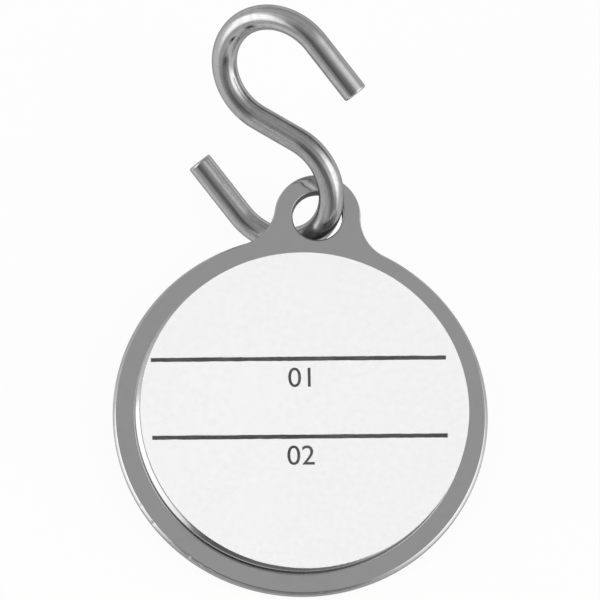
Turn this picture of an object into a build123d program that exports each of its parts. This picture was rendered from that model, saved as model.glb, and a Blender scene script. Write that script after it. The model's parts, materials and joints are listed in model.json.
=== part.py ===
from build123d import *
import os
from math import asin, cos, radians, sin, sqrt, tan

os.makedirs("parts", exist_ok=True)

# Sizes in millimetres, angles in degrees

# Tag plate: a struck disc with an ear, a hole and a raised face for the label
plate_diameter = 31.75
plate_thickness = 1.2
plate_front_round = 0.22
plate_rim_band = 0.28
flange_width = 1.855
face_height = 1.0
face_edge_round = 0.45
hole_web = 1.58
hole_clearance = 0.32
hole_edge_round = 0.2
ear_wall = 1.55
ear_root_round = 3.6

# Label stack, stuck on by hand and a little off the middle
label_margin = 0.1
label_shift = 0.31
label_rise = 0.12
adhesive_thickness = 0.1
paper_thickness = 0.15
film_thickness = 0.1

# S-hook of round wire: two bends, a straight stretch between them and two straight arms
wire_diameter = 2.15
wire_end_round = 0.18
bend_radius = 4.95
cross_length = 3.9
bend_sweep = 206.3
arm_length = 5.7

# How the hook lies in the hole, in the tag's own axes
hook_heading = 32.3
hook_lift = 48.9
hook_spin = 28.7
thread_angle = -32.4
thread_shift = 0.68

# How far and how finely the lean of the resting tag is searched
lean_limit = 60.0
lean_steps = 50

# Sizes that follow from these; the back's round takes what the front's round and a narrow band
# leave of the rim
plate_radius = plate_diameter / 2
plate_back_round = plate_thickness - plate_front_round - plate_rim_band
face_radius = plate_radius - flange_width
label_radius = face_radius - label_margin
wire_radius = wire_diameter / 2
bend_spacing = 2 * sqrt(bend_radius**2 + (cross_length / 2) ** 2)
adhesive_level = plate_thickness + face_height
paper_level = adhesive_level + adhesive_thickness
film_level = paper_level + paper_thickness

# The slanting wire needs a hole as long as its own slanted width and its run through the plate
slanted_width = wire_diameter / sin(radians(hook_lift))
slanted_run = plate_thickness / tan(radians(hook_lift))
hole_radius = (slanted_width + slanted_run + hole_clearance) / 2
hole_distance = face_radius + hole_web + hole_radius
ear_radius = hole_radius + ear_wall


def reach(center, radius, axis, direction):
    """How far a circle about an axis reaches along a unit direction."""
    return center.dot(direction) + radius * sqrt(1 - axis.dot(direction) ** 2)


def wire_reach(plane, bend_center, direction):
    """How far the wire of one bend reaches along a unit direction."""
    center = plane.from_local_coords(bend_center)
    return reach(center, bend_radius, plane.z_dir, direction) + wire_radius


def rim_reach(plane, height, edge_round, direction):
    """How far one rounded edge of the plate's rim reaches along a unit direction."""
    center = plane.from_local_coords((0, 0, height))
    return reach(center, plate_radius - edge_round, plane.z_dir, direction) + edge_round


# The hook's plane passes through the middle of the hole, in the tag's own axes
heading = radians(hook_heading)
thread_point = Vector(
    thread_shift * cos(heading),
    hole_distance - thread_shift * sin(heading),
    plate_thickness / 2,
)
hook_on_tag = Plane(origin=thread_point).rotated((-hook_heading, hook_lift, hook_spin), Intrinsic.ZXZ)

# Centres of the two bends and the middle of the S, in the hook's plane
thread_turn = radians(thread_angle)
lower_bend_center = Vector(-bend_radius * cos(thread_turn), -bend_radius * sin(thread_turn), 0)
upper_bend_center = lower_bend_center + Vector(0, bend_spacing, 0)
hook_middle = (lower_bend_center + upper_bend_center) / 2

# The tag lies on its back and leans on the lowest point of the hook behind the plate
down = Vector(0, 0, -1)
drop = down - hook_on_tag.z_dir * hook_on_tag.z_dir.dot(down)
lowest_point = hook_on_tag.from_local_coords(lower_bend_center) + drop.normalized() * bend_radius
uphill = Vector(lowest_point.X, lowest_point.Y, 0).normalized()
lean_axis = Vector(-uphill.Y, uphill.X, 0)


def leaning(angle):
    """The tag's and the hook's planes with the ear raised by an angle."""
    turn = Location((0, 0, 0), lean_axis, -angle)
    return Plane(turn), Plane(turn * hook_on_tag.location)


# The lean at which the rim and the hook stand on the same level
low_lean = 0.0
high_lean = lean_limit
for step in range(lean_steps):
    lean = (low_lean + high_lean) / 2
    tilted_tag, tilted_hook = leaning(lean)
    rim_depth = rim_reach(tilted_tag, plate_back_round, plate_back_round, down)
    hook_depth = wire_reach(tilted_hook, lower_bend_center, down)
    if hook_depth > rim_depth:
        low_lean = lean
    else:
        high_lean = lean

# The part stands on the level z = 0, with the middle of its box over the origin
ahead = Vector(0, 1, 0)
ear_end_reach = wire_reach(tilted_hook, upper_bend_center, ahead)
rim_end_reach = rim_reach(tilted_tag, plate_thickness - plate_front_round, plate_front_round, ahead * -1)
rest = Location((0, (rim_end_reach - ear_end_reach) / 2, rim_depth)) * tilted_tag.location
tag_plane = Plane(rest)
hook_plane = Plane(rest * hook_on_tag.location)
tag_axis = Axis(tag_plane.origin, tag_plane.z_dir)

# Tag plate
with BuildPart() as tag_plate:
    with BuildSketch(tag_plane) as outline:
        Circle(plate_radius)
        with Locations((0, hole_distance)):
            Circle(ear_radius)
        fillet(outline.vertices(), ear_root_round)
    extrude(amount=plate_thickness)
    fillet(tag_plate.edges().group_by(tag_axis)[-1], plate_front_round)
    fillet(tag_plate.edges().group_by(tag_axis)[0], plate_back_round)
    with BuildSketch(tag_plane.offset(plate_thickness)):
        Circle(face_radius)
    extrude(amount=face_height)
    fillet(tag_plate.edges().group_by(tag_axis)[-1], face_edge_round)
    with BuildSketch(tag_plane):
        with Locations((0, hole_distance)):
            Circle(hole_radius)
    extrude(amount=plate_thickness, mode=Mode.SUBTRACT)
    fillet(tag_plate.edges(Select.LAST).filter_by(GeomType.CIRCLE), hole_edge_round)
tag_plate.part.label = "tag_plate"
export_step(tag_plate.part, "parts/tag_plate.step")

# Adhesive disc under the label
with BuildPart() as label_adhesive:
    with BuildSketch(tag_plane.offset(adhesive_level)):
        with Locations((label_shift, label_rise)):
            Circle(label_radius)
    extrude(amount=adhesive_thickness)
label_adhesive.part.label = "label_adhesive"
export_step(label_adhesive.part, "parts/label_adhesive.step")

# White write-on label
with BuildPart() as write_on_label:
    with BuildSketch(tag_plane.offset(paper_level)):
        with Locations((label_shift, label_rise)):
            Circle(label_radius)
    extrude(amount=paper_thickness)
write_on_label.part.label = "write_on_label"
export_step(write_on_label.part, "parts/write_on_label.step")

# Clear film over the label
with BuildPart() as clear_overlay:
    with BuildSketch(tag_plane.offset(film_level)):
        with Locations((label_shift, label_rise)):
            Circle(label_radius)
    extrude(amount=film_thickness)
clear_overlay.part.label = "clear_overlay"
export_step(clear_overlay.part, "parts/clear_overlay.step")

# S-hook: the straight stretch through its middle first, then a bend and an arm at each end
cross_turn = asin(2 * bend_radius / bend_spacing)
cross_run = Vector(-sin(cross_turn), cos(cross_turn), 0) * cross_length / 2
with BuildPart() as s_hook:
    with BuildLine(hook_plane) as hook_path:
        cross = Line(tuple(hook_middle - cross_run), tuple(hook_middle + cross_run))
        upper_bend = JernArc(cross @ 1, cross % 1, bend_radius, -bend_sweep)
        upper_arm = Line(upper_bend @ 1, upper_bend @ 1 + (upper_bend % 1) * arm_length)
        lower_bend = JernArc(cross @ 0, (cross % 0) * -1, bend_radius, -bend_sweep)
        lower_arm = Line(lower_bend @ 1, lower_bend @ 1 + (lower_bend % 1) * arm_length)
    with BuildSketch(Plane(origin=upper_arm @ 1, z_dir=upper_arm % 1)):
        Circle(wire_radius)
    sweep(path=hook_path.wire())
    fillet(s_hook.faces().filter_by(GeomType.PLANE).edges(), wire_end_round)
s_hook.part.label = "s_hook"
export_step(s_hook.part, "parts/s_hook.step")

print(f"lean of the resting tag: {lean:.3f} degrees, hole diameter: {2 * hole_radius:.3f} mm")
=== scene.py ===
# %% [markdown]
# # A pet's tag on its S-hook
# The object is a round tag of polished metal. It has an ear with a hole, a raised face under a white
# label that is written on, and an open S-hook of drawn wire that hangs it on a collar. A measured model
# of it exists already, with a joint where the hook turns in the hole. We load that model as a fixed frame
# and dress it: what we model below lies where the measured pieces lie, in metres, and has the finish that
# they lack.

# %% Load the measured model
import json
import math
import random

import bmesh
import bpy
from mathutils import Matrix, Vector


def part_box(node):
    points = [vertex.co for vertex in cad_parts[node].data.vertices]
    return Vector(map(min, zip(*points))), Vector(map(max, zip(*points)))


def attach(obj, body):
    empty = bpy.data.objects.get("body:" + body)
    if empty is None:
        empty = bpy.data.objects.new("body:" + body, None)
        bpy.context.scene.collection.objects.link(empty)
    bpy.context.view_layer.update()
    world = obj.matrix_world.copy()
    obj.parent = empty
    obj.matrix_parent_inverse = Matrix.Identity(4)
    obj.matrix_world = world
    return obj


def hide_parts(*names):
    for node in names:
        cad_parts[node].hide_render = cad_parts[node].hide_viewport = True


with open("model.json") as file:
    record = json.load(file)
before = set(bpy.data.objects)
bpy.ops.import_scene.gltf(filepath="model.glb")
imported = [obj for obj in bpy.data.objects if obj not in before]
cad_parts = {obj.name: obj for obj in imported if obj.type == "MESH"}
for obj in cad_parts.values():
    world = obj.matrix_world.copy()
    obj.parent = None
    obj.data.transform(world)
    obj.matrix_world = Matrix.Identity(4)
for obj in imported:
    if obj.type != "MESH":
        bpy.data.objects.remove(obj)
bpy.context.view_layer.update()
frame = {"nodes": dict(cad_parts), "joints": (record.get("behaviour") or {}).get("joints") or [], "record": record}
scene = bpy.context.scene
scene.view_settings.view_transform = "Standard"
print("measured pieces:", ", ".join(sorted(frame["nodes"])))

# %% [markdown]
# ## The tag's own axes
# The tag doesn't lie flat, because its ear leans on the hook behind it. A flat plate is far easier to
# model, so everything on the tag is built flat, and a matrix lays it down at the end. The hook turns
# about the hole's axis, so that joint gives us the hole and the plate's upright direction, and the middle
# of the label gives the direction down the tag. The label was stuck on by hand, a little to the right,
# which the sum allows for.

# %% Find the tag's axes
MM = 0.001
label_shift = 0.31 * MM
label_rise = 0.12 * MM
plate_thickness = 1.2 * MM


def axes_matrix(right, ahead, up, origin):
    """A matrix that lays a flat model down along three directions."""
    matrix = Matrix((right, ahead, up)).transposed().to_4x4()
    matrix.translation = origin
    return matrix


swing = frame["joints"][0]
hole_middle = Vector(swing["pos_m"])
tag_up = Vector(swing["axis"]).normalized()
label_low, label_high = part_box("write_on_label")
to_hole = hole_middle - (label_low + label_high) / 2
to_hole -= tag_up * to_hole.dot(tag_up)
label_to_hole = math.sqrt(to_hole.length_squared - label_shift**2)
hole_distance = label_to_hole + label_rise
along = to_hole.normalized()
across = along.cross(tag_up)
tag_ahead = (along * label_to_hole + across * label_shift).normalized()
tag_right = tag_ahead.cross(tag_up)
tag_origin = hole_middle - tag_ahead * hole_distance - tag_up * (plate_thickness / 2)
tag_matrix = axes_matrix(tag_right, tag_ahead, tag_up, tag_origin)
lean = math.degrees(tag_up.angle((0, 0, 1)))
print(f"hole {hole_distance / MM:.2f} mm from the tag's middle, lean {lean:.2f} degrees")

# %% [markdown]
# ## The camera
# The photograph was taken from high above and a little from the tag's lower side, with so long a lens
# that parallel lines stay parallel. A camera far away with a very narrow field does the same. Its three
# axes are worked out from an azimuth, an elevation and a small roll, and it looks at one point near the
# ear.

# %% Camera
camera_azimuth = math.radians(3.28)
camera_elevation = math.radians(66.33)
camera_roll = math.radians(1.39)
camera_distance = 2.0
view_width = 50.91 * MM
view_middle = Vector((-0.859, 3.012, 2.080)) * MM


def direction(azimuth, elevation):
    """A unit vector; azimuth 0 points at -Y, where the viewer stands, and 90 degrees at +X."""
    level = math.cos(elevation)
    return Vector((math.sin(azimuth) * level, -math.cos(azimuth) * level, math.sin(elevation)))


to_viewer = direction(camera_azimuth, camera_elevation)
level_right = Vector((math.cos(camera_azimuth), math.sin(camera_azimuth), 0))
level_up = to_viewer.cross(level_right)
view_right = level_right * math.cos(camera_roll) + level_up * math.sin(camera_roll)
view_up = to_viewer.cross(view_right)

camera_data = bpy.data.cameras.new("long_lens")
camera_data.sensor_width = 36.0
camera_data.lens = camera_data.sensor_width * camera_distance / view_width
camera_data.clip_start = 0.1
camera_data.clip_end = 10.0
camera = bpy.data.objects.new("long_lens", camera_data)
scene.collection.objects.link(camera)
camera.matrix_world = axes_matrix(view_right, view_up, to_viewer, view_middle + to_viewer * camera_distance)
scene.camera = camera
print(f"lens {camera_data.lens:.0f} mm at {camera_distance} m")

# %% [markdown]
# ## Helpers for shader nodes
# A finish is a small network of nodes. A few helpers keep the networks short: one adds a node and fills
# or links its inputs by name, two do sums with numbers and with vectors, and one maps a value from one
# range to another.

# %% Node helpers
def feed(tree, socket, value):
    """Links a socket where another one is given, and fills it where a number is."""
    if isinstance(value, bpy.types.NodeSocket):
        tree.links.new(value, socket)
    else:
        socket.default_value = value


def add(tree, kind, **inputs):
    """Adds a node and feeds its inputs by name."""
    node = tree.nodes.new(kind)
    for name, value in inputs.items():
        feed(tree, node.inputs[name.replace("_", " ")], value)
    return node


def sum_of(tree, operation, first, second):
    """A sum of two values, each of them a number or a socket."""
    node = tree.nodes.new("ShaderNodeMath")
    node.operation = operation
    for socket, value in zip(node.inputs, (first, second)):
        feed(tree, socket, value)
    return node.outputs[0]


def vector_of(tree, operation, first, second):
    """A sum of two vectors; gives the node's outputs."""
    node = tree.nodes.new("ShaderNodeVectorMath")
    node.operation = operation
    for socket, value in zip(node.inputs, (first, second)):
        feed(tree, socket, value)
    return node.outputs


def spread(tree, value, to_low, to_high, from_low=0.0, from_high=1.0):
    """Maps a value to another range, with soft ends."""
    node = add(tree, "ShaderNodeMapRange", Value=value, From_Min=from_low, From_Max=from_high)
    node.interpolation_type = "SMOOTHSTEP"
    node.inputs["To Min"].default_value = to_low
    node.inputs["To Max"].default_value = to_high
    return node.outputs["Result"]


print("helpers:", ", ".join(helper.__name__ for helper in (feed, add, sum_of, vector_of, spread)))

# %% [markdown]
# ## The table
# The photograph has a plain white ground. A white table under soft light still renders a light grey, and
# more light would burn out the label, so to the eye and to reflections the table is mostly a white glow
# of strength 1. The rest of it is an ordinary matt white that takes the object's soft shadow.

# %% White table
table_half = 3.0
table_drop = 0.02 * MM
glow_share = 0.93
table_white = 0.9

table_mesh = bpy.data.meshes.new("white_table")
table_signs = ((-1, -1), (1, -1), (1, 1), (-1, 1))
table_corners = [(x * table_half, y * table_half, -table_drop) for x, y in table_signs]
table_mesh.from_pydata(table_corners, [], [(0, 1, 2, 3)])
table = bpy.data.objects.new("white_table", table_mesh)
scene.collection.objects.link(table)

table_finish = bpy.data.materials.new("white_table")
table_finish.use_nodes = True
tree = table_finish.node_tree
tree.nodes.remove(tree.nodes["Principled BSDF"])
rays = tree.nodes.new("ShaderNodeLightPath").outputs
seen = sum_of(tree, "MAXIMUM", rays["Is Camera Ray"], rays["Is Glossy Ray"])
seen = sum_of(tree, "MAXIMUM", seen, rays["Is Transmission Ray"])
glow = add(tree, "ShaderNodeEmission", Color=(1, 1, 1, 1), Strength=1.0)
matt = add(tree, "ShaderNodeBsdfDiffuse", Color=(table_white, table_white, table_white, 1))
both = add(tree, "ShaderNodeMixShader", Fac=sum_of(tree, "MULTIPLY", seen, glow_share))
tree.links.new(matt.outputs[0], both.inputs[1])
tree.links.new(glow.outputs[0], both.inputs[2])
tree.links.new(both.outputs[0], tree.nodes["Material Output"].inputs["Surface"])
table_mesh.materials.append(table_finish)
print("table", 2 * table_half, "m wide")

# %% [markdown]
# ## The tent
# Polished metal shows nothing but its surroundings, so the studio is part of the finish. The round wire
# is a curved mirror, and read along its length it tells what stood where: a grey tent overhead, a large
# round panel on the left whose light fades on towards the back, a lamp behind cloth on the right, a dark
# stretch and a smaller dim one on the viewer's side, and a faint low glow in front. The tent and its soft
# patches are the world, where a patch is a cone of directions that fades out between two angles.

# %% Tent
tent_low = 0.5
tent_high = 0.64
dark_depth = 0.75
dim_depth = 0.4
fading_glow = 0.75
cloth_glow = 1.95
front_glow = 0.24

# Azimuth and elevation of each patch, and the angles at which it begins and ends to fade, in degrees
dark_patch = (-31, 46.7, 5.9, 48.5)
dim_patch = (17, 20, 12, 31)
fading_patch = (-98, 24, 0, 58)
cloth_patch = (80.9, 21.5, 12.2, 51)
front_patch = (-28, 3, 3, 28)


def patch(tree, looking, azimuth, elevation, inner, outer):
    """A soft round patch of the tent: 1 in its middle and 0 outside, with all angles in degrees."""
    middle = direction(math.radians(azimuth), math.radians(elevation))
    facing = vector_of(tree, "DOT_PRODUCT", looking, middle)["Value"]
    angle = sum_of(tree, "ARCCOSINE", facing, 0.0)
    return spread(tree, angle, 1.0, 0.0, math.radians(inner), math.radians(outer))


def weigh(tree, base, *terms):
    """A number or a value plus several masks, each with its own weight."""
    total = base
    for mask, weight in terms:
        total = sum_of(tree, "ADD", sum_of(tree, "MULTIPLY", mask, weight), total)
    return total


world = bpy.data.worlds.new("light_tent")
scene.world = world
world.use_nodes = True
tree = world.node_tree
looking = tree.nodes.new("ShaderNodeTexCoord").outputs["Generated"]
height = vector_of(tree, "DOT_PRODUCT", looking, (0, 0, 1))["Value"]
tent = spread(tree, height, tent_low, tent_high)
for shaded, depth in ((dark_patch, dark_depth), (dim_patch, dim_depth)):
    tent = sum_of(tree, "MULTIPLY", tent, weigh(tree, 1.0, (patch(tree, looking, *shaded), -depth)))
lights = ((fading_patch, fading_glow), (cloth_patch, cloth_glow), (front_patch, front_glow))
glowing = weigh(tree, tent, *((patch(tree, looking, *lit), strength) for lit, strength in lights))
tree.links.new(glowing, tree.nodes["Background"].inputs["Strength"])
tree.nodes["Background"].inputs["Color"].default_value = (1, 1, 1, 1)
print("tent", tent_low, "to", tent_high, "with", len(lights), "lights behind it")

# %% [markdown]
# ## The panel
# The panel on the left shows in the metal with a crisp edge, which the world's soft patches can't give,
# so it is an area lamp. We want it to look a certain number of times brighter than white, and an even
# panel of that brightness gives off its brightness times its area times pi.

# %% Crisp panel
panel_distance = 0.6
panel_azimuth = math.radians(-74)
panel_elevation = math.radians(23)
panel_width = 0.6
panel_height = 0.585
panel_brightness = 1.38

lamp = bpy.data.lights.new("left_panel", "AREA")
lamp.shape = "ELLIPSE"
lamp.size = panel_width
lamp.size_y = panel_height
lamp.energy = panel_brightness * math.pi * (math.pi / 4 * panel_width * panel_height)
panel = bpy.data.objects.new("left_panel", lamp)
scene.collection.objects.link(panel)
toward = direction(panel_azimuth, panel_elevation)
panel.matrix_world = toward.to_track_quat("Z", "Y").to_matrix().to_4x4()
panel.location = toward * panel_distance
print("panel at", panel_distance, "m, as bright as", panel_brightness, "whites")

# %% [markdown]
# ## Marks that several finishes share
# Handling leaves soft hazy patches on anything shiny, working metal leaves fine lines in it, and edges
# are rubbed bright. Each of these is a node group: built once, then placed in every finish that has such
# marks, with its own scale. The groups only put out masks between 0 and 1, and each finish decides what a
# mask does to it.

# %% Group helper
def new_group(name, result, **inputs):
    """A shader node group with named inputs and one output; vectors have three numbers as their default."""
    group = bpy.data.node_groups.new(name, "ShaderNodeTree")
    for label, default in inputs.items():
        kind = "NodeSocketVector" if isinstance(default, tuple) else "NodeSocketFloat"
        group.interface.new_socket(label, in_out="INPUT", socket_type=kind).default_value = default
    group.interface.new_socket(result, in_out="OUTPUT", socket_type="NodeSocketFloat")
    entry = group.nodes.new("NodeGroupInput").outputs
    leave = group.nodes.new("NodeGroupOutput").inputs
    return group, entry, leave


def use(tree, group, **inputs):
    """Places a group in a finish and gives its one output."""
    node = tree.nodes.new("ShaderNodeGroup")
    node.node_tree = group
    for label, value in inputs.items():
        feed(tree, node.inputs[label], value)
    return node.outputs[0]


print("helpers:", new_group.__name__, use.__name__)

# %% Handling haze
haze_group, entry, leave = new_group("handling_haze", "Haze", Place=(0, 0, 0), Scale=150.0)
patches = add(haze_group, "ShaderNodeTexNoise", Vector=entry["Place"], Scale=entry["Scale"], Detail=3.0)
finer_scale = sum_of(haze_group, "MULTIPLY", entry["Scale"], 7.0)
smears = add(haze_group, "ShaderNodeTexNoise", Vector=entry["Place"], Scale=finer_scale, Detail=4.0)
haze = sum_of(haze_group, "MULTIPLY", patches.outputs[0], smears.outputs[0])
haze_group.links.new(spread(haze_group, haze, 0.0, 1.0, 0.17, 0.38), leave["Haze"])
print("group", haze_group.name)

# %% Working lines
lines_group, entry, leave = new_group(
    "working_lines", "Lines", Place=(0, 0, 0), Along=100.0, Across=5000.0, Detail=5.0
)
stretch = add(lines_group, "ShaderNodeCombineXYZ", X=entry["Along"], Y=entry["Across"], Z=entry["Across"])
stretched = vector_of(lines_group, "MULTIPLY", entry["Place"], stretch.outputs[0])["Vector"]
grain = add(
    lines_group, "ShaderNodeTexNoise", Vector=stretched, Scale=1.0, Detail=entry["Detail"], Roughness=0.62
)
lines_group.links.new(spread(lines_group, grain.outputs[0], 0.0, 1.0, 0.28, 0.72), leave["Lines"])
print("group", lines_group.name)

# %% Rubbed edges
rub_group, entry, leave = new_group("rubbed_edges", "Rub", Edge=0.0, Place=(0, 0, 0), Scale=900.0)
chips = add(rub_group, "ShaderNodeTexNoise", Vector=entry["Place"], Scale=entry["Scale"], Detail=4.0)
chips = spread(rub_group, chips.outputs[0], 0.0, 1.0, 0.38, 0.66)
rub_group.links.new(sum_of(rub_group, "MULTIPLY", entry["Edge"], chips), leave["Rub"])
print("group", rub_group.name)

# %% [markdown]
# ## The plate's finish
# The plate is plated and polished, nearly a mirror. What keeps it from looking like a computer's mirror
# is small: hazy patches that blur the reflection a little more, polishing lines that are almost too fine
# to see, and edges that are rubbed brighter. The rim is duller and a little darker, the root of the raised
# face gets a thin line of painted shade, and the wall of the hole is dull, with strong painted shade on its
# upper half. Every mesh below stores where a point lies on the flat tag, so that the marks stay put when the
# tag moves.

# %% Polished plate
plate_grey = 0.437
plate_roughness = 0.075


def new_finish(name):
    """A material with its tree and its Principled shader."""
    finish = bpy.data.materials.new(name)
    finish.use_nodes = True
    return finish, finish.node_tree, finish.node_tree.nodes["Principled BSDF"]


def stored(tree, name, output="Vector"):
    """What the mesh stores under a name."""
    node = tree.nodes.new("ShaderNodeAttribute")
    node.attribute_name = name
    return node.outputs[output]


def relief(tree, shader, height, depth):
    """A fine relief of a depth in metres, for what is too small to model."""
    bump = add(tree, "ShaderNodeBump", Height=height, Strength=1.0, Distance=depth)
    tree.links.new(bump.outputs["Normal"], shader.inputs["Normal"])


plate_finish, tree, shader = new_finish("polished_plate")
place = stored(tree, "tag_place")
haze = use(tree, haze_group, Place=place, Scale=140.0)
lines = use(tree, lines_group, Place=place, Along=260.0, Across=6500.0)
rub = use(tree, rub_group, Edge=stored(tree, "edge", "Fac"), Place=place, Scale=900.0)
dull_and_shade = stored(tree, "dull_and_shade", "Fac")
hole_shade = stored(tree, "hole_shade", "Fac")
shader.inputs["Metallic"].default_value = 1.0
shader.inputs["Specular Tint"].default_value = (0.6, 0.6, 0.6, 1)
# Painted shade: the stored shade darkens the upper wall of the hole strongly, and the matt edges and the root of
# the raised face a little.
grey = weigh(tree, plate_grey, (haze, -0.013), (rub, 0.05), (dull_and_shade, -0.06), (hole_shade, -0.28))
tree.links.new(grey, shader.inputs["Base Color"])
roughness = weigh(tree, plate_roughness, (haze, 0.04), (lines, 0.03), (dull_and_shade, 0.36))
tree.links.new(roughness, shader.inputs["Roughness"])
relief(tree, shader, lines, 0.0006 * MM)
print("finish", plate_finish.name)

# %% [markdown]
# ## The plate
# A die strikes the plate out of sheet: a disc, an ear that flows into it with two hollow curves, a hole,
# and a raised face. It could be cut out of a cylinder, but a row of flat rings, each a copy of the
# outline moved inwards and up, gives full control over the edges that catch the light. Moving an outline
# of arcs inwards only changes the arcs' radii, so one function draws every ring.

# %% Outline of the plate
plate_radius = 15.875 * MM
hole_radius = 2.11 * MM
ear_wall = 1.55 * MM
ear_radius = hole_radius + ear_wall
ear_root_round = 3.6 * MM
rim_steps = 960
root_steps = 40
ear_steps = 110

root_reach = plate_radius + ear_root_round
ear_reach = ear_radius + ear_root_round
root_y = (root_reach**2 - ear_reach**2 + hole_distance**2) / (2 * hole_distance)
root_x = math.sqrt(root_reach**2 - root_y**2)
rim_turn = math.atan2(root_y, root_x)
ear_turn = math.atan2(root_y - hole_distance, root_x)


def arc(x, y, radius, start, end, steps):
    """Points along an arc, without its last one."""
    turns = [start + (end - start) * step / steps for step in range(steps)]
    return [(x + radius * math.cos(turn), y + radius * math.sin(turn)) for turn in turns]


def circle(x, y, radius, steps):
    """Points round a circle."""
    return arc(x, y, radius, 0, 2 * math.pi, steps)


def plate_outline(inset):
    """The plate's outline, moved inwards."""
    ear = ear_radius - inset
    root = ear_root_round + inset
    return (
        arc(0, 0, plate_radius - inset, math.pi - rim_turn, 2 * math.pi + rim_turn, rim_steps)
        + arc(root_x, root_y, root, math.pi + rim_turn, math.pi + ear_turn, root_steps)
        + arc(0, hole_distance, ear, ear_turn, math.pi - ear_turn, ear_steps)
        + arc(-root_x, root_y, root, -ear_turn, -rim_turn, root_steps)
    )


print(len(plate_outline(0)), "points round the plate")

# %% [markdown]
# ## From rings to a piece
# A mesh in the making is a bmesh, which takes vertices and faces one by one. Rings of equal length are
# joined by four-sided faces, and a flat stretch between rings is filled with triangles. Each vertex also
# stores how worn the metal is there and how much painted shade darkens it, which the finish reads. At the
# end the flat model is laid down where the measured one lies.

# %% Rings, skins and fills
wear_and_shade_layers = ("edge", "dull_and_shade", "hole_shade")


def new_shape():
    """An empty mesh in the making, with the layers it stores for worn metal and painted shade."""
    shape = bmesh.new()
    for wear_and_shade in wear_and_shade_layers:
        shape.verts.layers.float.new(wear_and_shade)
    return shape


def ring_of(shape, points, height, edge=0.0, dull_and_shade=0.0, hole_shade=0.0):
    """A ring of vertices at one height, how rubbed and how matt the metal is there, and how much painted shade
    darkens it.
    """
    ring = [shape.verts.new((x, y, height)) for x, y in points]
    for wear_and_shade, amount in zip(wear_and_shade_layers, (edge, dull_and_shade, hole_shade)):
        layer = shape.verts.layers.float[wear_and_shade]
        for vertex in ring:
            vertex[layer] = amount
    return ring


def skin(shape, rings):
    """Joins each ring to the next with four-sided faces."""
    for low, high in zip(rings, rings[1:]):
        for i in range(len(low)):
            shape.faces.new((low[i - 1], low[i], high[i], high[i - 1]))


def fill(shape, *rings):
    """Fills the flat space inside the first ring and outside the others."""
    sides = [shape.edges.get((ring[i - 1], ring[i])) for ring in rings for i in range(len(ring))]
    bmesh.ops.triangle_fill(shape, use_beauty=True, edges=sides)


print("a vertex stores", ", ".join(wear_and_shade_layers))

# %% Rounded and sloping edges
round_steps = 7
slope_steps = 4
slope_soft = 0.03 * MM
slope_near = 0.3 * slope_soft


def quarter(radius):
    """Steps of a quarter circle: how far in from its outer wall, how far up, and how much it is an edge."""
    for step in range(round_steps + 1):
        turn = math.pi / 2 * step / round_steps
        yield radius * (1 - math.cos(turn)), radius * math.sin(turn), math.sin(2 * turn)


def slope(run, rise):
    """Steps of a slope with softened ends, told in the same way."""
    softened = slope_near + slope_soft
    yield 0.0, 0.0, 0.0
    for step in range(slope_steps + 1):
        share = step / slope_steps
        yield slope_near + (run - softened) * share, slope_soft + (rise - softened) * share, 0.5
    yield run, rise, 0.0


def rounded_wall(low, high, low_round, high_round):
    """Steps up a wall with two rounded ends: how far in, at what height, and how much it is an edge."""
    for inset, up, edge in reversed(list(quarter(low_round))):
        yield inset, low + low_round - up, edge
    for inset, up, edge in quarter(high_round):
        yield inset, high - high_round + up, edge


print("a round has", round_steps, "steps and a slope", slope_steps)

# %% Lay a piece down
def lay_down(shape, name, matrix, place_name):
    """Turns the flat model into an object where the measured one lies, and stores the flat places."""
    bmesh.ops.recalc_face_normals(shape, faces=shape.faces)
    layer = shape.verts.layers.float_vector.new(place_name)
    for vertex in shape.verts:
        vertex[layer] = vertex.co
    shape.transform(matrix)
    mesh = bpy.data.meshes.new(name)
    shape.to_mesh(mesh)
    shape.free()
    mesh.polygons.foreach_set("use_smooth", [True] * len(mesh.polygons))
    piece = bpy.data.objects.new(name, mesh)
    scene.collection.objects.link(piece)
    weighted = piece.modifiers.new("flats_stay_flat", "WEIGHTED_NORMAL")
    weighted.keep_sharp = True
    print(name, len(mesh.polygons), "faces")
    return piece


def settle(piece, finish, body, slot, *nodes):
    """Gives a piece its finish and its body, and hides the measured pieces that it stands for."""
    piece.data.materials.append(finish)
    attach(piece, body)
    if nodes:
        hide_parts(*nodes)


print("helpers:", lay_down.__name__, settle.__name__)

# %% [markdown]
# ## The rim
# The back edge of the plate is well rounded. The front edge is a narrow slope: on the left it mirrors the
# panel as a bright line, and at the bottom it mirrors the dim front. Round the ear the photograph shows
# no such line, so there the slope is drawn in to a crisp edge. Three more rings on the flat keep the
# nicks below from pulling at long triangles.

# %% Rings of the rim
back_round = 0.7 * MM
front_slope = 0.26 * MM
flat_insets = (0.1 * MM, 0.25 * MM, 0.5 * MM)
dull_reach = 1.6
ear_start = 13.0 * MM
ear_run = 3.5 * MM
ear_slope = 0.35


def worn(inset, radius):
    """How matt a rounded edge is: not at all where it meets the flat, fully where it stands upright."""
    return min(1.0, dull_reach * (1 - inset / radius))


def sharpen_ear(rings):
    """Narrows the front slope towards the ear, where the die cut a sharper edge."""
    outer_edge = [vertex.co.copy() for vertex in rings[0]]
    for ring in rings:
        for vertex, outer in zip(ring, outer_edge):
            on_ear = min(1.0, max(0.0, (outer.y - ear_start) / ear_run))
            kept = 1 - (1 - ear_slope) * on_ear
            vertex.co.xy = outer.xy + (vertex.co.xy - outer.xy) * kept
            vertex.co.z = plate_thickness - (plate_thickness - vertex.co.z) * kept


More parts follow.
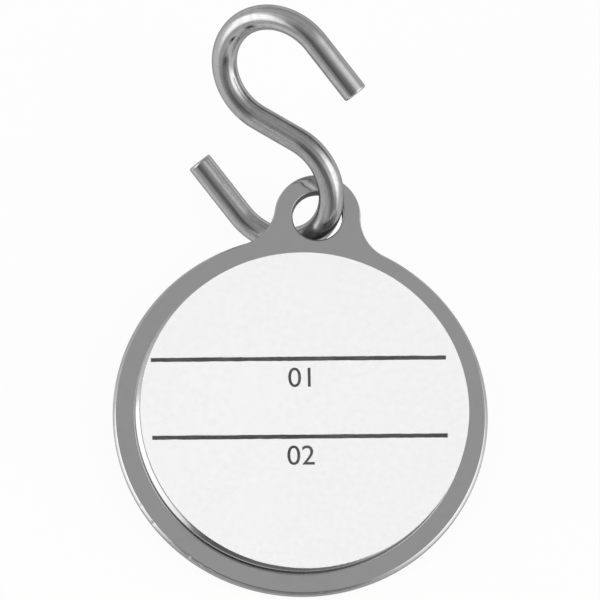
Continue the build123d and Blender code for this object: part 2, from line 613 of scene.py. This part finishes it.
def rim_rings(shape):
    """Rings from the flat back, round the rim, to the flat front."""
    back = []
    for inset, up, edge in reversed(list(quarter(back_round))):
        back.append(ring_of(shape, plate_outline(inset), back_round - up, edge, worn(inset, back_round)))
    front = []
    for inset, up, edge in slope(front_slope, front_slope):
        height = plate_thickness - front_slope + up
        front.append(ring_of(shape, plate_outline(inset), height, edge, 1 - inset / front_slope))
    sharpen_ear(front)
    flat = [ring_of(shape, plate_outline(front_slope + inset), plate_thickness) for inset in flat_insets]
    return back + front + flat


shape = new_shape()
rim = rim_rings(shape)
print(len(rim), "rings round the rim")

# %% [markdown]
# ## The hole and the raised face
# The wall of the hole looks dark in the photograph, so it is dull, and strong painted shade darkens its
# upper half; its lower half gets none. The raised face has a steep wall with a dull line at its root,
# darkened a little as painted shade in the corner, and a slope at its top that mirrors the panel as a
# broad bright line at the lower left.

# %% Rings of the hole and the face
hole_round = 0.2 * MM
hole_steps = 160
face_radius = 14.02 * MM
face_height = 1.0 * MM
face_run = 0.41 * MM
face_rise = 0.287 * MM
face_root_round = 0.12 * MM
face_steps = 384
face_dull = 0.15


def hole_rings(shape):
    """Rings from the flat back, through the hole, to the flat front."""
    rings = []
    for inset, height, edge in rounded_wall(0.0, plate_thickness, hole_round, hole_round):
        points = circle(0, hole_distance, hole_radius + inset, hole_steps)
        wear_and_shade = (1 - inset / hole_round) ** 2
        rings.append(ring_of(shape, points, height, edge, wear_and_shade, wear_and_shade))
    # Painted shade darkens only the upper half of the hole's wall; the half towards the tag's middle gets none.
    hole_shade = shape.verts.layers.float["hole_shade"]
    for vertex in (v for ring in rings for v in ring if v.co.y < hole_distance):
        vertex[hole_shade] = 0.0
    return rings


def face_rings(shape):
    """Rings from the flat front up the wall of the raised face to its flat top."""
    rings = []
    # The root of the wall is matt and a little darker: painted shade in its corner.
    for inset, up, edge in reversed(list(quarter(face_root_round))):
        points = circle(0, 0, face_radius + inset, face_steps)
        rings.append(ring_of(shape, points, plate_thickness + face_root_round - up, 0.0, edge))
    for inset, up, edge in slope(face_run, face_rise):
        points = circle(0, 0, face_radius - inset, face_steps)
        height = plate_thickness + face_height - face_rise + up
        rings.append(ring_of(shape, points, height, edge, face_dull))
    return rings


hole = hole_rings(shape)
face = face_rings(shape)
print(len(hole), "rings through the hole and", len(face), "up the face")

# %% [markdown]
# ## Nicks
# The photograph shows a few bright specks on the lower left edge of the plate, where it was knocked. They
# are modelled: a nick pushes the nearby points of the edge inwards and down, most in its middle.

# %% Model the plate
nick_turns = (216.0, 222.6, 237.7, 242.1, 245.8, 281.7)
nick_width = 0.2 * MM
nick_depth = 0.06 * MM


def add_nicks(shape, rings):
    """Knocks small nicks into the front edge of the rim, bright where they opened up fresh metal."""
    dull_and_shade = shape.verts.layers.float["dull_and_shade"]
    for turn in map(math.radians, nick_turns):
        outward = Vector((math.cos(turn), math.sin(turn), 0))
        middle = outward * plate_radius + Vector((0, 0, plate_thickness))
        for vertex in (v for ring in rings for v in ring):
            share = math.exp(-((vertex.co - middle).length / nick_width) ** 2)
            vertex.co -= (outward + Vector((0, 0, 1))) * (nick_depth * share)
            vertex[dull_and_shade] *= 1 - share


for rings in (rim, hole, face):
    skin(shape, rings)
fill(shape, rim[-1], hole[-1], face[0])
fill(shape, rim[0], hole[0])
shape.faces.new(face[-1])
add_nicks(shape, rim)
plate = lay_down(shape, "struck_plate", tag_matrix, "tag_place")
settle(plate, plate_finish, "tag", "polished_plate", "tag_plate")

# %% [markdown]
# ## The wire's finish
# The hook's wire was drawn through a die, which leaves long streaks along it, some dull and some bright. A
# thin dark line of painted reflection runs along one side of its middle stretch. The mesh stores how far
# along the wire a point lies and where it lies around it, so noise stretched along the first of these gives
# streaks that follow every bend.

# %% Drawn wire
wire_grey = 0.33
wire_roughness = 0.15
# Where the painted dark reflection lies: its turn around the wire, the angles of its core and of its fading edge,
# and where along the wire it fades in and out.
dark_reflection_turn = math.radians(170)
dark_reflection_core = math.radians(2)
dark_reflection_edge = math.radians(11)
dark_reflection_start = (16.5 * MM, 18.5 * MM)
dark_reflection_end = (30.0 * MM, 32.0 * MM)

wire_finish, tree, shader = new_finish("drawn_wire")
place = stored(tree, "wire_place")
hook_place = stored(tree, "hook_place")
streaks = use(tree, lines_group, Place=place, Along=70.0, Across=4.5, Detail=1.0)
fine_streaks = use(tree, lines_group, Place=place, Along=150.0, Across=16.0, Detail=1.5)
haze = use(tree, haze_group, Place=hook_place, Scale=260.0)
rub = use(tree, rub_group, Edge=stored(tree, "edge", "Fac"), Place=hook_place, Scale=1500.0)
mark = stored(tree, "dull_and_shade", "Fac")
way = add(tree, "ShaderNodeSeparateXYZ", Vector=place).outputs["X"]
# Painted reflection: a thin dark line painted into the wire's colour along one side of its middle stretch.
dark_reflection_side = (0, math.cos(dark_reflection_turn), math.sin(dark_reflection_turn))
facing = vector_of(tree, "DOT_PRODUCT", place, dark_reflection_side)["Value"]
dark_reflection = spread(tree, facing, 0.0, 1.0, math.cos(dark_reflection_edge), math.cos(dark_reflection_core))
dark_reflection = sum_of(tree, "MULTIPLY", dark_reflection, spread(tree, way, 0.0, 1.0, *dark_reflection_start))
dark_reflection = sum_of(tree, "MULTIPLY", dark_reflection, spread(tree, way, 1.0, 0.0, *dark_reflection_end))
shader.inputs["Metallic"].default_value = 1.0
shader.inputs["Specular Tint"].default_value = (0.45, 0.45, 0.45, 1)
grey = weigh(tree, wire_grey, (streaks, 0.12), (fine_streaks, 0.08), (haze, -0.05), (rub, 0.06))
# The dents darken the wire, and the painted dark reflection darkens one side of its middle stretch.
grey = weigh(tree, grey, (mark, -0.42), (dark_reflection, -0.2))
tree.links.new(grey, shader.inputs["Base Color"])
roughness = weigh(tree, wire_roughness, (fine_streaks, 0.07), (haze, 0.05), (mark, 0.2))
tree.links.new(roughness, shader.inputs["Roughness"])
relief(tree, shader, weigh(tree, 0.0, (streaks, 0.6), (fine_streaks, 0.4)), 0.008 * MM)
print("finish", wire_finish.name)

# %% [markdown]
# ## The S-hook's line
# Each half of the S is a straight arm, a bend of a little over half a circle, and half of the straight
# stretch in the middle, and the second half is the first one turned round the middle point. The two
# places where a collar takes hold are known from the measured model, and they give the hook's plane, its
# bend and its wire.

# %% The hook's line
arm_length = 5.7 * MM
cross_length = 3.9 * MM
bend_sweep = math.radians(206.3)
line_step = 0.16 * MM

holds = {mount["name"]: mount for mount in frame["record"]["mounts"]}
bend_middle = Vector(holds["collar_loop"]["pos_m"])
arm_ahead = Vector(holds["collar_hook_arm"]["axis"]).normalized()
wire_radius = holds["collar_hook_arm"]["dims"]["r_mm"] * MM
to_arm = Vector(holds["collar_hook_arm"]["pos_m"]) - bend_middle
to_arm -= arm_ahead * to_arm.dot(arm_ahead)
bend_radius = to_arm.length
hook_up = arm_ahead.cross(to_arm).normalized()
hook_matrix = axes_matrix(arm_ahead, to_arm.normalized(), hook_up, bend_middle)

bend_end = math.pi / 2 + bend_sweep
leaving = Vector((-math.sin(bend_end), math.cos(bend_end), 0))
cross_start = Vector((math.cos(bend_end), math.sin(bend_end), 0)) * bend_radius
hook_middle = cross_start + leaving * (cross_length / 2)


def steps_of(length):
    """Into how many steps a stretch of the line is cut."""
    return max(2, round(length / line_step))


def half_line():
    """Points and directions from the tip of one arm to the middle of the S."""
    line = []
    count = steps_of(arm_length)
    for step in range(count):
        line.append((Vector((arm_length * (1 - step / count), bend_radius, 0)), Vector((-1, 0, 0))))
    count = steps_of(bend_radius * bend_sweep)
    for step in range(count):
        turn = math.pi / 2 + bend_sweep * step / count
        outward = Vector((math.cos(turn), math.sin(turn), 0))
        line.append((outward * bend_radius, Vector((-outward.y, outward.x, 0))))
    count = steps_of(cross_length / 2)
    for step in range(count):
        line.append((cross_start + leaving * (cross_length / 2 * step / count), leaving))
    return line


first_half = half_line()
second_half = [(hook_middle * 2 - point, ahead) for point, ahead in reversed(first_half)]
hook_line = first_half + [(hook_middle, leaving)] + second_half
print(f"bend radius {bend_radius / MM:.3f} mm, wire radius {wire_radius / MM:.3f} mm")
print(len(hook_line), "points along the wire")

# %% [markdown]
# ## The S-hook's wire
# A circle is carried along that line, as a curve with a bevel would do, but ring by ring, so that every
# vertex can store its way along the wire. The cut ends are rounded. Where the bending tool held the wire
# it left three shallow, dark dents, and the upper arm was cut a trifle shorter than the lower one.

# %% Dents and rings of the wire
wire_sides = 96
end_round = 0.18 * MM
dent_depth = 0.03 * MM

# Way along the wire in mm, turn around it in degrees, half length and half width in mm of each dent
dents = ((12.07, 107.5, 0.55, 0.15), (14.45, 111.2, 0.38, 0.13), (16.9, 117.9, 0.5, 0.1))


def dent_share(travelled, turn):
    """How deep in one of the dents a point lies, from its way along the wire and its turn around it."""
    deepest = 0.0
    for way, around, half_length, half_width in dents:
        along = (travelled - way * MM) / (half_length * MM)
        beside = math.remainder(turn - math.radians(around), 2 * math.pi) * wire_radius / (half_width * MM)
        deepest = max(deepest, math.exp(-(along**2) - beside**2))
    return deepest


def wire_ring(shape, point, ahead, radius, travelled, edge=0.0):
    """One ring of the wire."""
    sideways = Vector((ahead.y, -ahead.x, 0))
    upright = Vector((0, 0, 1))
    layers = shape.verts.layers
    ring = []
    for side in range(wire_sides):
        turn = 2 * math.pi * side / wire_sides
        around = sideways * math.cos(turn) + upright * math.sin(turn)
        dent = dent_share(travelled, turn)
        vertex = shape.verts.new(point + around * (radius - dent_depth * dent))
        vertex[layers.float_vector["wire_place"]] = (travelled, math.cos(turn), math.sin(turn))
        vertex[layers.float["edge"]] = edge
        vertex[layers.float["dull_and_shade"]] = dent
        ring.append(vertex)
    return ring


def wire_end(shape, point, outward, ahead, travelled):
    """Rings that round a cut end, from the full wire to its flat face."""
    rings = []
    for inset, up, edge in quarter(end_round):
        tip = point + outward * (up - end_round)
        rings.append(wire_ring(shape, tip, ahead, wire_radius - inset, travelled, edge))
    return rings


print(len(dents), "dents,", wire_sides, "sides to the wire")

# %% Model the hook
upper_trim = 0.17 * MM

shape = new_shape()
shape.verts.layers.float_vector.new("wire_place")
tip, ahead = hook_line[0]
rings = wire_end(shape, tip + ahead * upper_trim, -ahead, ahead, 0.0)[::-1]
travelled = 0.0
line_end = sum((after - before).length for (before, _), (after, _) in zip(hook_line, hook_line[1:]))
for (before, _), (point, ahead) in zip(hook_line, hook_line[1:-1]):
    travelled += (point - before).length
    if upper_trim + end_round < travelled < line_end - end_round:
        rings.append(wire_ring(shape, point, ahead, wire_radius, travelled))
tip, ahead = hook_line[-1]
rings += wire_end(shape, tip, ahead, ahead, line_end)
skin(shape, rings)
shape.faces.new(rings[0])
shape.faces.new(rings[-1])
hook = lay_down(shape, "drawn_wire_hook", hook_matrix, "hook_place")
settle(hook, wire_finish, "hook", "drawn_wire", "s_hook")

# %% [markdown]
# ## The label's finishes
# The label is a sandwich: a soft adhesive, a white paper, and a clear film over the writing. The paper is
# matt with faint fibres. The film could be real glass, but a thin sheet bends no light that one could
# see, so it is a nearly clear surface with a few scuffs and hairlines, which shines where it mirrors a
# light.

# %% Finishes of the label
paper_white = 0.975
paper_roughness = 0.5
film_roughness = 0.16
film_cover = 0.022
glue_grey = 0.7
glue_roughness = 0.35

paper_finish, tree, shader = new_finish("white_paper")
place = stored(tree, "tag_place")
fibres = use(tree, lines_group, Place=place, Along=2200.0, Across=3600.0)
clouds = use(tree, haze_group, Place=place, Scale=90.0)
tree.links.new(weigh(tree, paper_white, (fibres, 0.008), (clouds, -0.008)), shader.inputs["Base Color"])
tree.links.new(weigh(tree, paper_roughness, (fibres, 0.15)), shader.inputs["Roughness"])
relief(tree, shader, fibres, 0.0015 * MM)

film_finish, tree, shader = new_finish("clear_film")
place = stored(tree, "tag_place")
scuffs = use(tree, haze_group, Place=place, Scale=220.0)
hairlines = use(tree, lines_group, Place=place, Along=150.0, Across=9000.0)
shader.inputs["Base Color"].default_value = (0.95, 0.95, 0.95, 1)
roughness = weigh(tree, film_roughness, (scuffs, 0.12), (hairlines, 0.05))
tree.links.new(roughness, shader.inputs["Roughness"])
tree.links.new(weigh(tree, film_cover, (scuffs, 0.016)), shader.inputs["Alpha"])

glue_finish, tree, shader = new_finish("label_adhesive")
bubbles = use(tree, haze_group, Place=stored(tree, "tag_place"), Scale=500.0)
tree.links.new(weigh(tree, glue_grey, (bubbles, 0.12)), shader.inputs["Base Color"])
tree.links.new(weigh(tree, glue_roughness, (bubbles, 0.2)), shader.inputs["Roughness"])
print("finishes", paper_finish.name, film_finish.name, glue_finish.name)

# %% [markdown]
# ## The label's outline
# One die cuts all three layers, so they share an outline. It isn't quite round: the photograph shows a
# small step at the bottom and a ragged stretch at the lower right, which a few added waves give. All
# turns are in degrees.

# %% Outline of the label
label_radius = 13.92 * MM
label_steps = 720
step_turn = 256.3
step_end = 305.0
step_run_in = 1.0
step_run_out = 12.0
step_height = 0.02 * MM
ragged_start = 280.0
ragged_end = 304.0
ragged_height = 0.035 * MM
ragged_waves = 10
ragged_bunching = 1.2
cut_wobble = 0.012 * MM
wobble_waves = (5, 13)
wobble_shift = 40


def cut_rise(turn):
    """How far the cut edge lies outside a true circle."""
    slow, quick = wobble_waves
    wobble = math.sin(math.radians(slow * turn)) + math.sin(math.radians(quick * turn + wobble_shift))
    rise = cut_wobble * wobble / 2
    if step_turn < turn < step_end:
        rise += step_height * min(1.0, (turn - step_turn) / step_run_in, (step_end - turn) / step_run_out)
    if ragged_start < turn < ragged_end:
        share = (turn - ragged_start) / (ragged_end - ragged_start)
        teeth = abs(math.sin(math.pi * ragged_waves * share**ragged_bunching))
        rise -= ragged_height * math.sin(math.pi * share) * teeth
    return rise


def label_outline(inset):
    """The cut outline of the label, moved inwards."""
    points = []
    for step in range(label_steps):
        turn = 360.0 * step / label_steps
        radius = label_radius + cut_rise(turn) - inset
        x = label_shift + radius * math.cos(math.radians(turn))
        y = label_rise + radius * math.sin(math.radians(turn))
        points.append((x, y))
    return points


print(len(label_outline(0)), "points round the label")

# %% [markdown]
# ## The label's layers
# The layers lie on top of each other with their cut edges rounded a little. Two faces in one place
# flicker in a render, so the adhesive keeps a hair's breadth from its neighbours, and the film leaves
# room for the ink.

# %% Model the label
glue_thickness = 0.1 * MM
paper_thickness = 0.15 * MM
film_thickness = 0.1 * MM
glue_level = plate_thickness + face_height
paper_level = glue_level + glue_thickness
film_level = paper_level + paper_thickness
cut_round = 0.03 * MM
pressed_round = 0.01 * MM
glue_inset = 0.03 * MM
layer_gap = 0.002 * MM
ink_gap = 0.012 * MM


def label_layer(name, low, thickness, lower_round, upper_round, moved_in=0.0):
    """One layer of the label, with its edges rounded a little."""
    shape = new_shape()
    rings = []
    for inset, height, edge in rounded_wall(low, low + thickness, lower_round, upper_round):
        rings.append(ring_of(shape, label_outline(inset + moved_in), height))
    skin(shape, rings)
    shape.faces.new(rings[0])
    shape.faces.new(rings[-1])
    return lay_down(shape, name, tag_matrix, "tag_place")


glue_low, glue_rest = glue_level + layer_gap, glue_thickness - 2 * layer_gap
glue = label_layer("adhesive_layer", glue_low, glue_rest, cut_round, cut_round, glue_inset)
settle(glue, glue_finish, "tag", "adhesive", "label_adhesive")
paper = label_layer("white_paper_label", paper_level, paper_thickness, pressed_round, cut_round)
settle(paper, paper_finish, "tag", "white_label", "write_on_label")
film = label_layer("clear_film", film_level + ink_gap, film_thickness - ink_gap, pressed_round, cut_round)
settle(film, film_finish, "tag", "clear_film", "clear_overlay")

# %% [markdown]
# ## The ruled lines
# Two ruled lines to write on are printed on the paper, under the film. The label sits turned by a few
# degrees, so the lines slope on the tag. Ink from a cheap plate has rough edges, so each line is a strip
# whose width wavers along its length. The waver is drawn from a seeded source of chance, so it is the
# same on every run.

# %% Ink and lines
ink_grey = 0.008
ink_roughness = 0.45
ink_finish, tree, shader = new_finish("printing_ink")
place = stored(tree, "tag_place")
blots = use(tree, haze_group, Place=place, Scale=700.0)
tree.links.new(weigh(tree, ink_grey, (blots, 0.03)), shader.inputs["Base Color"])
tree.links.new(weigh(tree, ink_roughness, (blots, 0.2)), shader.inputs["Roughness"])

print_turn = math.radians(5.82)
line_middle = -0.12 * MM
line_levels = (4.59 * MM, -2.286 * MM)
line_length = 25.0 * MM
line_width = 0.36 * MM
line_waver = 0.018 * MM
waver_kept = 0.8
line_pieces = 200
ink_thickness = 0.006 * MM
print_matrix = tag_matrix @ Matrix.Translation((0, 0, film_level)) @ Matrix.Rotation(print_turn, 4, "Z")
wavering = random.Random(7)


def inked_strip(shape, level):
    """A printed line whose two edges waver."""
    edges = [[], []]
    wave = [0.0, 0.0]
    for step in range(line_pieces + 1):
        x = line_middle + line_length * (step / line_pieces - 0.5)
        for side, sign in enumerate((-1, 1)):
            wave[side] = wave[side] * waver_kept + wavering.uniform(-1, 1) * line_waver
            y = level + sign * (line_width + wave[side]) / 2
            edges[side].append((x, y))
    outline = edges[0] + edges[1][::-1]
    low, high = ring_of(shape, outline, 0.0), ring_of(shape, outline, ink_thickness)
    skin(shape, [low, high])
    fill(shape, low)
    fill(shape, high)


shape = new_shape()
for level in line_levels:
    inked_strip(shape, level)
ruled_lines = lay_down(shape, "ruled_lines", print_matrix, "tag_place")
settle(ruled_lines, ink_finish, "tag", "white_label")

# %% [markdown]
# ## The field numbers
# Under each line stands a plain field number. Blender's own font draws it as a curve, which is turned
# into a flat mesh, brought to size and printed with the same ink as the lines.

# %% Field numbers
number_height = 1.72 * MM
number_drop = 1.64 * MM
number_middle = -0.066 * MM


def number_shape(shape, text, level):
    """Plain numerals as a thin mesh, with their middle on a level."""
    letters = bpy.data.curves.new("numerals", "FONT")
    letters.body = text
    holder = bpy.data.objects.new("numerals", letters)
    scene.collection.objects.link(holder)
    bpy.context.view_layer.update()
    flat = bpy.data.meshes.new_from_object(holder.evaluated_get(bpy.context.evaluated_depsgraph_get()))
    corners = [vertex.co for vertex in flat.vertices]
    low = Vector((min(c.x for c in corners), min(c.y for c in corners), 0))
    high = Vector((max(c.x for c in corners), max(c.y for c in corners), 0))
    to_size = Matrix.Scale(number_height / (high.y - low.y), 4)
    to_place = Matrix.Translation((number_middle, level, ink_thickness))
    flat.transform(to_place @ to_size @ Matrix.Translation(-(low + high) / 2))
    shape.from_mesh(flat)
    bpy.data.objects.remove(holder)
    bpy.data.curves.remove(letters)
    bpy.data.meshes.remove(flat)


shape = new_shape()
for number, level in enumerate(line_levels, start=1):
    number_shape(shape, f"0{number}", level - number_drop)
numerals = lay_down(shape, "field_numbers", print_matrix, "tag_place")
settle(numerals, ink_finish, "tag", "white_label")
